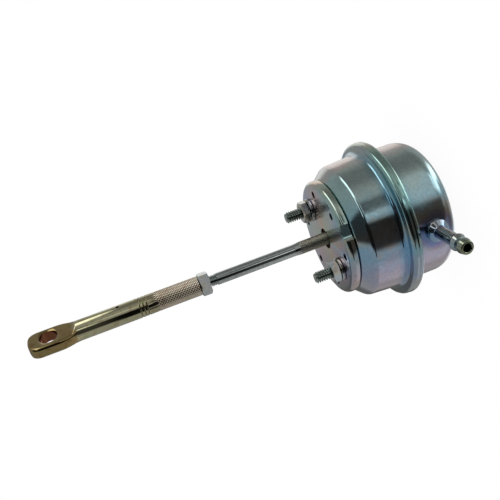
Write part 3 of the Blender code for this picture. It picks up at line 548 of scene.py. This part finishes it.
notch = bmesh.new()
inside = PLATE_RADIUS - NOTCH_DEPTH
outside = PLATE_RADIUS + NOTCH_DEPTH
half = NOTCH_WIDTH / 2
corners = [notch.verts.new((x, y, PLATE_BACK - SHEET)) for x, y in
           ((inside, -half), (outside, -half), (outside, half), (inside, half))]
notch.faces.new(corners)
bmesh.ops.bevel(notch, geom=[corners[0]], offset=NOTCH_FILLET, offset_type="OFFSET", affect="VERTICES",
                segments=8, profile=0.5, material=-1)
wall = bmesh.ops.extrude_face_region(notch, geom=notch.faces[:])
bmesh.ops.translate(notch, vec=(0, 0, PLATE_FRONT - PLATE_BACK + 2 * SHEET),
                    verts=[item for item in wall["geom"] if isinstance(item, bmesh.types.BMVert)])
bmesh.ops.recalc_face_normals(notch, faces=notch.faces)
bmesh.ops.transform(notch, matrix=at_angle(NOTCH_ANGLE), verts=notch.verts)
cut(mounting_plate, *holes, notch)


# The two mounting studs: headed steel studs with rolled quarter-inch threads, pushed out through the end
# wall and the plate. Each carries a split spring washer and a chamfered hexagon nut.
STUD_PITCH = 1.27 * MM
THREAD_STEPS = 36
HEAD_RADIUS = 5.5 * MM
HEAD_HEIGHT = 2.6 * MM
STUD_THREAD_START = 2.5 * MM  # above the underside of the head, a little inside the head
THREAD_CHAMFER = 0.8 * MM
WASHER_RADIUS = 6.3 * MM
WASHER_FILLET = 0.2 * MM
SPLIT_ANGLES = (-150, 100)
SPLIT_SLANT = 25
SPLIT_WIDTH = 0.8 * MM
SPLIT_HEIGHT = 6.4 * MM  # of the cutter, enough for its slant
NUT_ACROSS_FLATS = 11.1 * MM
NUT_ANGLES = (-13, -1.3)
NUT_CORNER_TURN = 30  # from a cone's first corner, which lies along Y, to a hexagon's corner along X
NUT_SINK = 0.35 * MM  # countersink of a nut's bore
NUT_CLEARANCE = 0.2 * MM


def threaded(radius, pitch, low, high):
    """A threaded bar: one pitch of the thread's outline, swept along its helix and trimmed at both ends."""
    depth = 0.6 * pitch
    bm = bmesh.new()
    start = low - 2 * pitch
    # Along one pitch: the flat crest, a flank, the flat root and the other flank.
    line = [(radius, 0), (radius, pitch / 8), (radius - depth, pitch * 0.45),
            (radius - depth, pitch * 0.65), (radius, pitch)]
    verts = [bm.verts.new((r, 0, start + z)) for r, z in line]
    edges = [bm.edges.new(pair) for pair in zip(verts, verts[1:])]
    turns = math.ceil((high - low) / pitch) + 3
    bmesh.ops.spin(bm, geom=verts + edges, cent=(0, 0, 0), axis=(0, 0, 1), dvec=(0, 0, pitch / THREAD_STEPS),
                   angle=2 * math.pi * turns, steps=THREAD_STEPS * turns)
    bmesh.ops.remove_doubles(bm, verts=bm.verts, dist=0.005 * MM)
    for height, way in ((low, -1), (high, 1)):
        bmesh.ops.bisect_plane(bm, geom=bm.verts[:] + bm.edges[:] + bm.faces[:], plane_co=(0, 0, height),
                               plane_no=(0, 0, way), clear_outer=True)
    bmesh.ops.holes_fill(bm, edges=[edge for edge in bm.edges if edge.is_boundary])
    bmesh.ops.recalc_face_normals(bm, faces=bm.faces)
    for vert in bm.verts:
        reach = Vector((vert.co.x, vert.co.y))
        most = radius - max(0, vert.co.z - (high - THREAD_CHAMFER))
        if reach.length > most:
            vert.co.xy = reach * most / reach.length
    return bm


def join(bm, other):
    """Move another mesh's shapes into this one."""
    carrier = bpy.data.meshes.new("carrier")
    other.to_mesh(carrier)
    other.free()
    bm.from_mesh(carrier)
    bpy.data.meshes.remove(carrier)


def hex_nut(node, body, bore, centre, degrees):
    """A hexagon nut with its corners turned off at 30 degrees and a countersunk bore."""
    low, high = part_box(node)
    height = high.z - low.z
    bm = bmesh.new()
    corner = NUT_ACROSS_FLATS / math.sqrt(3)
    bmesh.ops.create_cone(bm, cap_ends=True, segments=6, radius1=corner, radius2=corner, depth=height,
                          matrix=Matrix.Translation((0, 0, height / 2)) @ at_angle(NUT_CORNER_TURN))
    face = 0.47 * NUT_ACROSS_FLATS  # radius of the flat face that the turning leaves
    wide = 0.6 * NUT_ACROSS_FLATS  # radius beyond the corners
    rise = (wide - face) * math.tan(math.radians(30))
    lens = turned([(0, 0), (face, 0), (wide, rise), (wide, height - rise), (face, height), (0, height)],
                  steps=96)
    hole = turned([(0, -MM), (bore + NUT_SINK + MM, -MM), (bore, NUT_SINK), (bore, height - NUT_SINK),
                   (bore + NUT_SINK + MM, height + MM), (0, height + MM)], steps=64)
    place = centre @ Matrix.Translation((0, 0, low.z)) @ at_angle(degrees)
    for shape in (bm, lens, hole):
        bmesh.ops.transform(shape, matrix=place, verts=shape.verts)
    made = piece(f"{node}_chamfered", bm, nut_zinc, body, node)
    cut(made, lens, operation="INTERSECT")
    cut(made, hole)


# Satin zinc on small steel hardware: a paler, softer grey than the can, tumbled in a drum, so the
# reflections are broad and the faces are speckled.
SPECKLE = 0.9 * MM
TONE_SIZE = 6 * MM
PIT_DEPTH = 0.003 * MM
GRAIN_DEPTH = 0.005 * MM
nut_zinc, tree = empty_material("barrel_plated_satin_zinc")
coords = add_node(tree, "TexCoord")
speckle = add_node(tree, "TexNoise", {"Scale": 1 / SPECKLE, "Detail": 1.0},
                   {"Vector": coords.outputs["Object"]})
tone = add_node(tree, "TexNoise", {"Scale": 1 / TONE_SIZE, "Detail": 1.0},
                {"Vector": coords.outputs["Object"]})
pale = add_node(tree, "ValToRGB", {}, {0: tone.outputs["Fac"]},
                stops=[(0.35, "#c9c5b6"), (0.5, "#c8cbc8"), (0.65, "#c2ccd0")])
specks = add_node(tree, "ValToRGB", {}, {0: speckle.outputs["Fac"]},
                  stops=[(0.35, "#e8e8e8"), (0.6, "#ffffff")])
colour = add_node(tree, "Mix", {0: 1.0}, {6: pale.outputs[0], 7: specks.outputs[0]},
                  data_type="RGBA", blend_type="MULTIPLY")
gloss = add_node(tree, "MapRange", {**NOISE_SPAN, "To Min": 0.12, "To Max": 0.2},
                 {"Value": speckle.outputs["Fac"]})
pits = add_node(tree, "Bump", {"Strength": 0.5, "Distance": PIT_DEPTH}, {"Height": speckle.outputs["Fac"]})
shader = add_node(tree, "BsdfPrincipled", {"Metallic": 1.0},
                  {"Base Color": colour.outputs[2], "Roughness": gloss.outputs[0],
                   "Normal": pits.outputs[0]})
add_node(tree, "OutputMaterial", {}, {"Surface": shader.outputs[0]})


def grained(name, dark, light, grain, metallic, roughness, stretch=1.0):
    """A finish of two close shades that vary with a grain of the given size."""
    finish, tree = empty_material(name)
    coords = add_node(tree, "TexCoord")
    mapped = add_node(tree, "Mapping", {"Scale": (1, 1, stretch)}, {"Vector": coords.outputs["Object"]})
    noise = add_node(tree, "TexNoise", {"Scale": 1 / grain, "Detail": 3.0}, {"Vector": mapped.outputs[0]})
    colour = add_node(tree, "ValToRGB", {}, {0: noise.outputs["Fac"]}, stops=[(0.3, dark), (0.7, light)])
    bump = add_node(tree, "Bump", {"Strength": 0.5, "Distance": GRAIN_DEPTH},
                    {"Height": noise.outputs["Fac"]})
    shader = add_node(tree, "BsdfPrincipled", {"Metallic": metallic, "Roughness": roughness},
                      {"Base Color": colour.outputs[0], "Normal": bump.outputs[0]})
    add_node(tree, "OutputMaterial", {}, {"Surface": shader.outputs[0]})
    return finish


# Rolled threads: a darker and greener grey than the nuts, in two close shades.
stud_zinc = grained("rolled_zinc_stud_steel", "#8b9690", "#a3aea8", 1.5 * MM, 1.0, 0.16)

for i, degrees in enumerate(STUD_ANGLES, 1):
    centre = Matrix.Translation(at_angle(degrees, STUD_CIRCLE).translation)
    low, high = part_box(f"stud_{i}")
    stud = threaded(STUD_RADIUS, STUD_PITCH, low.z + STUD_THREAD_START, high.z)
    join(stud, turned([(0, low.z), (HEAD_RADIUS, low.z), (HEAD_RADIUS, low.z + HEAD_HEIGHT),
                       (0, low.z + HEAD_HEIGHT)], steps=64))
    bmesh.ops.transform(stud, matrix=centre, verts=stud.verts)
    piece(f"stud_{i}_threaded", stud, stud_zinc, "housing", f"stud_{i}")

    low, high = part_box(f"stud_washer_{i}")
    bore = STUD_RADIUS + STUD_CLEARANCE
    washer = turned([(bore, low.z), (WASHER_RADIUS, low.z, WASHER_FILLET),
                     (WASHER_RADIUS, high.z, WASHER_FILLET), (bore, high.z)], closed=True, steps=96)
    bmesh.ops.transform(washer, matrix=centre, verts=washer.verts)
    ring = piece(f"stud_washer_{i}_split", washer, nut_zinc, "housing", f"stud_washer_{i}")
    split = bmesh.new()
    slant = Matrix.Rotation(math.radians(SPLIT_SLANT), 4, "X")
    bmesh.ops.create_cube(split, size=1, matrix=centre @ Matrix.Translation((0, 0, (low.z + high.z) / 2))
                          @ at_angle(SPLIT_ANGLES[i - 1], WASHER_RADIUS) @ slant
                          @ Matrix.Diagonal((2 * WASHER_RADIUS, SPLIT_WIDTH, SPLIT_HEIGHT, 1)))
    cut(ring, split)

    hex_nut(f"stud_nut_{i}", "housing", STUD_RADIUS + NUT_CLEARANCE, centre, NUT_ANGLES[i - 1])


# The push rod: drawn steel, plated and polished. It is thicker and finely ringed where it runs in the bush,
# and threaded at its free end for the rod end.
low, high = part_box("rod")
ROD_RADIUS = 3.175 * MM
ROD_THICK_RADIUS = 3.45 * MM
PISTON_SEAT_RADIUS = 3 * MM
PISTON_SEAT = 13.45 * MM  # above the base
TAPER_LENGTH = 3.3 * MM
TAPER_FILLET = 4 * MM
TAPER_START = PLATE_FRONT + 15.4 * MM
THREAD_START = PLATE_FRONT + 63 * MM
THREAD_RADIUS = 3.05 * MM
ROD_PITCH = 0.907 * MM
ROD_GRAIN = 1.2 * MM
RING_PITCH = 0.9 * MM  # the real turning rings are 0.2 mm apart, too fine for the render
RING_DEPTH = 0.05 * MM

# Polished steel under clear zinc: a dark mirror along the smooth stretch and the thread. The thick stretch
# is turned, so it is matte, browner and ringed.
rod_steel, tree = empty_material("polished_and_turned_rod_steel")
coords = add_node(tree, "TexCoord")
axes = add_node(tree, "SeparateXYZ", {}, {0: coords.outputs["Object"]})
turned_share = add_node(tree, "MapRange",
                        {"From Min": TAPER_START - 0.5 * MM, "From Max": TAPER_START + 1 * MM,
                         "To Min": 1.0, "To Max": 0.0}, {"Value": axes.outputs["Z"]})
grain = add_node(tree, "TexNoise", {"Scale": 1 / ROD_GRAIN, "Detail": 3.0},
                 {"Vector": coords.outputs["Object"]})
shade = add_node(tree, "ValToRGB", {}, {0: grain.outputs["Fac"]},
                 stops=[(0.3, "#d8d8d8"), (0.7, "#ffffff")])
colour = add_node(tree, "Mix", {6: linear("#bcc4c0"), 7: linear("#aeac9e")}, {0: turned_share.outputs[0]},
                  data_type="RGBA")
colour = add_node(tree, "Mix", {0: 1.0}, {6: colour.outputs[2], 7: shade.outputs[0]},
                  data_type="RGBA", blend_type="MULTIPLY")
gloss = add_node(tree, "MapRange", {"To Min": 0.04, "To Max": 0.45}, {"Value": turned_share.outputs[0]})
wave = add_node(tree, "Math", {1: 2 * math.pi / RING_PITCH}, {0: axes.outputs["Z"]}, operation="MULTIPLY")
wave = add_node(tree, "Math", {}, {0: wave.outputs[0]}, operation="SINE")
ringed = add_node(tree, "Math", {}, {0: wave.outputs[0], 1: turned_share.outputs[0]}, operation="MULTIPLY")
rings = add_node(tree, "Bump", {"Strength": 1.0, "Distance": RING_DEPTH}, {"Height": ringed.outputs[0]})
shader = add_node(tree, "BsdfPrincipled", {"Metallic": 1.0},
                  {"Base Color": colour.outputs[2], "Roughness": gloss.outputs[0],
                   "Normal": rings.outputs[0]})
add_node(tree, "OutputMaterial", {}, {"Surface": shader.outputs[0]})

rod = turned([
    (0, low.z),
    (PISTON_SEAT_RADIUS, low.z),
    (PISTON_SEAT_RADIUS, PISTON_SEAT),
    (ROD_THICK_RADIUS, PISTON_SEAT),
    (ROD_THICK_RADIUS, TAPER_START, TAPER_FILLET),
    (ROD_RADIUS, TAPER_START + TAPER_LENGTH, TAPER_FILLET),
    (ROD_RADIUS, THREAD_START - 0.3 * MM),
    (ROD_RADIUS - 0.3 * MM, THREAD_START),
    (0, THREAD_START),
], steps=96)
join(rod, threaded(THREAD_RADIUS, ROD_PITCH, THREAD_START - 0.5 * MM, high.z))
piece("push_rod", rod, rod_steel, "rod", "rod")


# The jam nut: the same kind of barrel plated hexagon nut as on the studs, but thicker. It is screwed along
# the rod's thread against the rod end and locks it.
JAM_NUT_ANGLE = -10.9
hex_nut("jam_nut", "jam_nut", THREAD_RADIUS + NUT_CLEARANCE, Matrix(), JAM_NUT_ANGLE)


# The rod end: a steel bar bored and threaded at one end, knurled and grooved there for the fingers, and
# forged flat at the other, where a hole takes the lever's pin. It is zinc plated with a yellow chromate.
low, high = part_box("rod_end")
SLEEVE_FACE = low.z
SLEEVE_RADIUS = 5.275 * MM
SLEEVE_EDGE = 0.4 * MM
SLEEVE_BORE = 3.35 * MM
SLEEVE_BORE_DEPTH = 47.3 * MM
SLEEVE_END = SLEEVE_FACE + 65.3 * MM
WITNESS_HEIGHT = SLEEVE_FACE + 42.9 * MM
WITNESS_RADIUS = 0.9 * MM
EYE_HEIGHT = SLEEVE_FACE + 79.7 * MM
EYE_TIP = high.z
EYE_HALF_THICK = 3.1 * MM
EYE_HALF_WIDE = 7.8 * MM
EYE_CORNER = 1.5 * MM
EYE_END_LENGTH = 6.5 * MM
EYE_END_POWER = 0.8  # below 1, so that the rounded end is a little squarer than a half ellipse
EYE_END_STEPS = 24
EYE_TIP_HALF_WIDE = 0.05 * MM
EYE_HOLE_RADIUS = 4.8 * MM
EYE_HOLE_CHAMFER = (0.5 * MM, 0.25 * MM)  # its width and depth, on the side that faces the camera
FORGED_RAMP = 2.6 * MM  # along which the bar thins to the eye's thickness
FORGED_SPREAD = 10 * MM  # along which it widens to the eye's width
FORGED_STEPS = 32
KNURL = (PLATE_FRONT + 72.95 * MM, PLATE_FRONT + 95.7 * MM)  # heights of its two ends
KNURL_ROUND = 24  # diamonds round the sleeve; the real knurl is a little finer
KNURL_ALONG = 1.5 * MM
KNURL_RINGS = 8  # rings of points along one diamond
KNURL_DEPTH = 0.28 * MM
GROOVES = [PLATE_FRONT + reach * MM for reach in (101.3, 103.1, 105.0)]
GROOVE_DEPTH = 0.35 * MM
GROOVE_HALF_WIDTH = 0.4 * MM
RING_POINTS = 192
CLOUD_SIZE = 4 * MM
FILM_WANDER = 1.2 * MM  # how far the clouds shift the film's bands along the bar
RECESS_SHADE = 0.55  # brightness of the painted shade in the knurl's hollows and the grooves
PEEL_SIZE = 0.8 * MM
PEEL_DEPTH = 0.005 * MM

# Yellow chromate on zinc: an olive gold metal, brown where the film is thick, as on the forged eye, and
# pinkish on the knurl. The wall of the eye's hole is painted a darker red brown, the film's brown with
# painted shade in the hole, and the hollows of the knurl and the grooves are darkened as painted shade.
yellow_zinc, tree = empty_material("yellow_chromated_zinc")
coords = add_node(tree, "TexCoord")
axes = add_node(tree, "SeparateXYZ", {}, {0: coords.outputs["Object"]})
clouds = add_node(tree, "TexNoise", {"Scale": 1 / CLOUD_SIZE, "Detail": 3.0, "Roughness": 0.6},
                  {"Vector": coords.outputs["Object"]})
wander = add_node(tree, "MapRange", {**NOISE_SPAN, "To Min": -FILM_WANDER, "To Max": FILM_WANDER},
                  {"Value": clouds.outputs["Fac"]})
along = add_node(tree, "Math", {}, {0: axes.outputs["Z"], 1: wander.outputs[0]}, operation="ADD")
share = add_node(tree, "MapRange", {"From Min": SLEEVE_FACE, "From Max": EYE_TIP},
                 {"Value": along.outputs[0]})
length = EYE_TIP - SLEEVE_FACE
film = add_node(tree, "ValToRGB", {}, {0: share.outputs[0]},
                stops=[(0.0, "#e0d2c2"), ((KNURL[1] - SLEEVE_FACE) / length, "#decfba"),
                       ((KNURL[1] + 2 * MM - SLEEVE_FACE) / length, "#b9b394"), (0.5, "#beba9c"),
                       ((SLEEVE_END - SLEEVE_FACE) / length, "#bdb898"),
                       ((SLEEVE_END + 1.5 * MM - SLEEVE_FACE) / length, "#9a865c"), (1.0, "#98875e")])
tone = add_node(tree, "ValToRGB", {}, {0: clouds.outputs["Fac"]},
                stops=[(0.3, "#ddd2c0"), (0.5, "#ffffff"), (0.7, "#e4ecd8")])
colour = add_node(tree, "Mix", {0: 1.0}, {6: film.outputs[0], 7: tone.outputs[0]},
                  data_type="RGBA", blend_type="MULTIPLY")
across = add_node(tree, "CombineXYZ", {}, {1: axes.outputs["Y"], 2: axes.outputs["Z"]})
from_hole = add_node(tree, "VectorMath", {1: (0, 0, EYE_HEIGHT)}, {0: across.outputs[0]},
                     operation="DISTANCE")
# Painted shade: the wall of the eye's hole is painted a dark red brown.
hole_painted_shade = add_node(tree, "MapRange", {"From Min": EYE_HOLE_RADIUS, "From Max": EYE_HOLE_RADIUS + 0.1 * MM,
                                      "To Min": 1.0, "To Max": 0.0}, {"Value": from_hole.outputs["Value"]})
colour = add_node(tree, "Mix", {7: linear("#744a34")}, {0: hole_painted_shade.outputs[0], 6: colour.outputs[2]},
                  data_type="RGBA")
flat = add_node(tree, "CombineXYZ", {}, {0: axes.outputs["X"], 1: axes.outputs["Y"]})
radius = add_node(tree, "VectorMath", {}, {0: flat.outputs[0]}, operation="LENGTH")
# Painted shade: the knurl's hollows and the grooves are darkened, and the forged eye is left as it is.
recess_painted_shade = add_node(tree, "MapRange",
                 {"From Min": SLEEVE_RADIUS - 0.3 * MM, "From Max": SLEEVE_RADIUS - 0.05 * MM,
                  "To Min": RECESS_SHADE}, {"Value": radius.outputs["Value"]})
forged = add_node(tree, "Math", {1: SLEEVE_END - 1 * MM}, {0: axes.outputs["Z"]}, operation="GREATER_THAN")
painted_shade_factor = add_node(tree, "Math", {}, {0: recess_painted_shade.outputs[0], 1: forged.outputs[0]}, operation="MAXIMUM")
colour = add_node(tree, "VectorMath", {}, {0: colour.outputs[2], "Scale": painted_shade_factor.outputs[0]},
                  operation="SCALE")
gloss = add_node(tree, "MapRange", {**NOISE_SPAN, "To Min": 0.05, "To Max": 0.11},
                 {"Value": clouds.outputs["Fac"]})
peel = add_node(tree, "TexNoise", {"Scale": 1 / PEEL_SIZE, "Detail": 2.0},
                {"Vector": coords.outputs["Object"]})
skin = add_node(tree, "Bump", {"Strength": 0.7, "Distance": PEEL_DEPTH}, {"Height": peel.outputs["Fac"]})
shader = add_node(tree, "BsdfPrincipled", {"Metallic": 1.0},
                  {"Base Color": colour.outputs[0], "Roughness": gloss.outputs[0],
                   "Normal": skin.outputs[0]})
add_node(tree, "OutputMaterial", {}, {"Surface": shader.outputs[0]})


def bar_ring(bm, height, half_x, half_y, corner):
    """One section of the forged bar: a rectangle with round corners, or a circle where they fill it."""
    verts = []
    quarter_points = RING_POINTS // 4
    for quarter in range(4):
        side_x = (1, -1, -1, 1)[quarter]
        side_y = (1, 1, -1, -1)[quarter]
        for step in range(quarter_points):
            angle = (quarter + (step + 0.5) / quarter_points) * math.pi / 2
            verts.append(bm.verts.new((side_x * (half_x - corner) + corner * math.cos(angle),
                                       side_y * (half_y - corner) + corner * math.sin(angle), height)))
    return [bm.edges.new(pair) for pair in zip(verts, verts[1:] + verts[:1])]


def eye_sections():
    """Sections from the sleeve's end to the eye's tip, as (height, half x, half y, corner)."""
    sections = []
    for step in range(FORGED_STEPS + 1):
        share = step / FORGED_STEPS
        height = FORGED_SPREAD * share
        pressed = min(height / FORGED_RAMP, 1)
        half_x = SLEEVE_RADIUS + (EYE_HALF_THICK - SLEEVE_RADIUS) * pressed
        half_y = SLEEVE_RADIUS + (EYE_HALF_WIDE - SLEEVE_RADIUS) * math.sin(share * math.pi / 2)
        corner = SLEEVE_RADIUS + (EYE_CORNER - SLEEVE_RADIUS) * pressed
        sections.append((SLEEVE_END + height, half_x, half_y, min(corner, half_x)))
    for step in range(EYE_END_STEPS + 1):
        angle = step / EYE_END_STEPS * math.pi / 2
        last = step == EYE_END_STEPS
        half_y = EYE_TIP_HALF_WIDE if last else EYE_HALF_WIDE * math.cos(angle) ** EYE_END_POWER
        height = EYE_TIP - EYE_END_LENGTH + EYE_END_LENGTH * math.sin(angle) ** EYE_END_POWER
        inset = EYE_CORNER - min(EYE_CORNER, EYE_TIP - height)
        half_x = EYE_HALF_THICK - EYE_CORNER + math.sqrt(EYE_CORNER ** 2 - inset ** 2)
        sections.append((height, half_x, half_y, min(EYE_CORNER, half_y)))
    return sections


bm = bmesh.new()
sleeve_heights = [SLEEVE_FACE, SLEEVE_FACE + SLEEVE_EDGE]
steps = round((KNURL[1] - KNURL[0]) / (KNURL_ALONG / KNURL_RINGS))
sleeve_heights += [KNURL[0] + (KNURL[1] - KNURL[0]) * i / steps for i in range(steps + 1)]
for height in GROOVES:
    sleeve_heights += [height - GROOVE_HALF_WIDTH, height, height + GROOVE_HALF_WIDTH]
rings = []
for height in sleeve_heights:
    half = SLEEVE_RADIUS - SLEEVE_EDGE if height == SLEEVE_FACE else SLEEVE_RADIUS
    rings.append(bar_ring(bm, height, half, half, half))
rings += [bar_ring(bm, *section) for section in eye_sections()]
for below, above in zip(rings, rings[1:]):
    bmesh.ops.bridge_loops(bm, edges=below + above)
bmesh.ops.holes_fill(bm, edges=[edge for edge in bm.edges if edge.is_boundary])
bmesh.ops.recalc_face_normals(bm, faces=bm.faces)
for vert in bm.verts:
    depth = 0
    if KNURL[0] < vert.co.z < KNURL[1]:
        around = KNURL_ROUND * math.atan2(vert.co.y, vert.co.x) / (2 * math.pi)
        along = (vert.co.z - KNURL[0]) / KNURL_ALONG
        depth = KNURL_DEPTH * (1 - min(abs(2 * ((around + side * along) % 1) - 1) for side in (1, -1)))
    for groove in GROOVES:
        if abs(vert.co.z - groove) < 0.1 * MM:
            depth = GROOVE_DEPTH
    if depth:
        vert.co.xy *= 1 - depth / SLEEVE_RADIUS
rod_end = piece("rod_end_forged", bm, yellow_zinc, "rod_end", "rod_end")
sideways = Matrix.Rotation(math.pi / 2, 4, "Y")
drill = turned([(0, SLEEVE_FACE - SLEEVE_EDGE), (SLEEVE_BORE + 2 * SLEEVE_EDGE, SLEEVE_FACE - SLEEVE_EDGE),
                (SLEEVE_BORE, SLEEVE_FACE + SLEEVE_EDGE), (SLEEVE_BORE, SLEEVE_FACE + SLEEVE_BORE_DEPTH),
                (0, SLEEVE_FACE + SLEEVE_BORE_DEPTH + SLEEVE_BORE / math.sqrt(3))], steps=64)
wider, deeper = EYE_HOLE_CHAMFER
eye = turned([(0, -2 * EYE_HALF_THICK), (EYE_HOLE_RADIUS, -2 * EYE_HALF_THICK),
              (EYE_HOLE_RADIUS, EYE_HALF_THICK - deeper),
              (EYE_HOLE_RADIUS + 3 * wider, EYE_HALF_THICK + 2 * deeper), (0, EYE_HALF_THICK + 2 * deeper)],
             steps=96)
bmesh.ops.transform(eye, matrix=Matrix.Translation((0, 0, EYE_HEIGHT)) @ sideways, verts=eye.verts)
witness = pin(WITNESS_RADIUS, 0, 2 * SLEEVE_RADIUS, Matrix.Translation((0, 0, WITNESS_HEIGHT)) @ sideways)
cut(rod_end, drill, eye, witness)


# The pieces inside the can, which only the gap round the rod shows: the CAD solids of the bush, the spring
# seat, the spring, the diaphragm and the piston with its washer and nut, each given a finish of its own.
pressed_steel = grained("bright_pressed_steel", "#8f908c", "#a5a6a2", 1.5 * MM, 1.0, 0.25, 0.05)
INNER_FINISHES = {
    # Sintered bronze: a warm brown with the pores of the pressed powder.
    "rod_bush": grained("sintered_bronze", "#86683f", "#a98a5c", 0.6 * MM, 1.0, 0.4),
    # Pressed steel: grey, with drawing streaks along the walls.
    "spring_seat": pressed_steel,
    "piston": pressed_steel,
    "diaphragm_plate": pressed_steel,
    "piston_nut": nut_zinc,
    # Oiled spring wire: dark blue grey.
    "spring": grained("oiled_spring_wire", "#56595f", "#6c6f74", 1 * MM, 1.0, 0.35),
    # Moulded nitrile rubber on cloth: black, with a faint weave.
    "diaphragm": grained("moulded_diaphragm_rubber", "#0e0e0f", "#1a1a1b", 0.8 * MM, 0.0, 0.8),
}
for name, finish in INNER_FINISHES.items():
    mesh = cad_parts[name].data
    mesh.materials.clear()
    mesh.materials.append(finish)
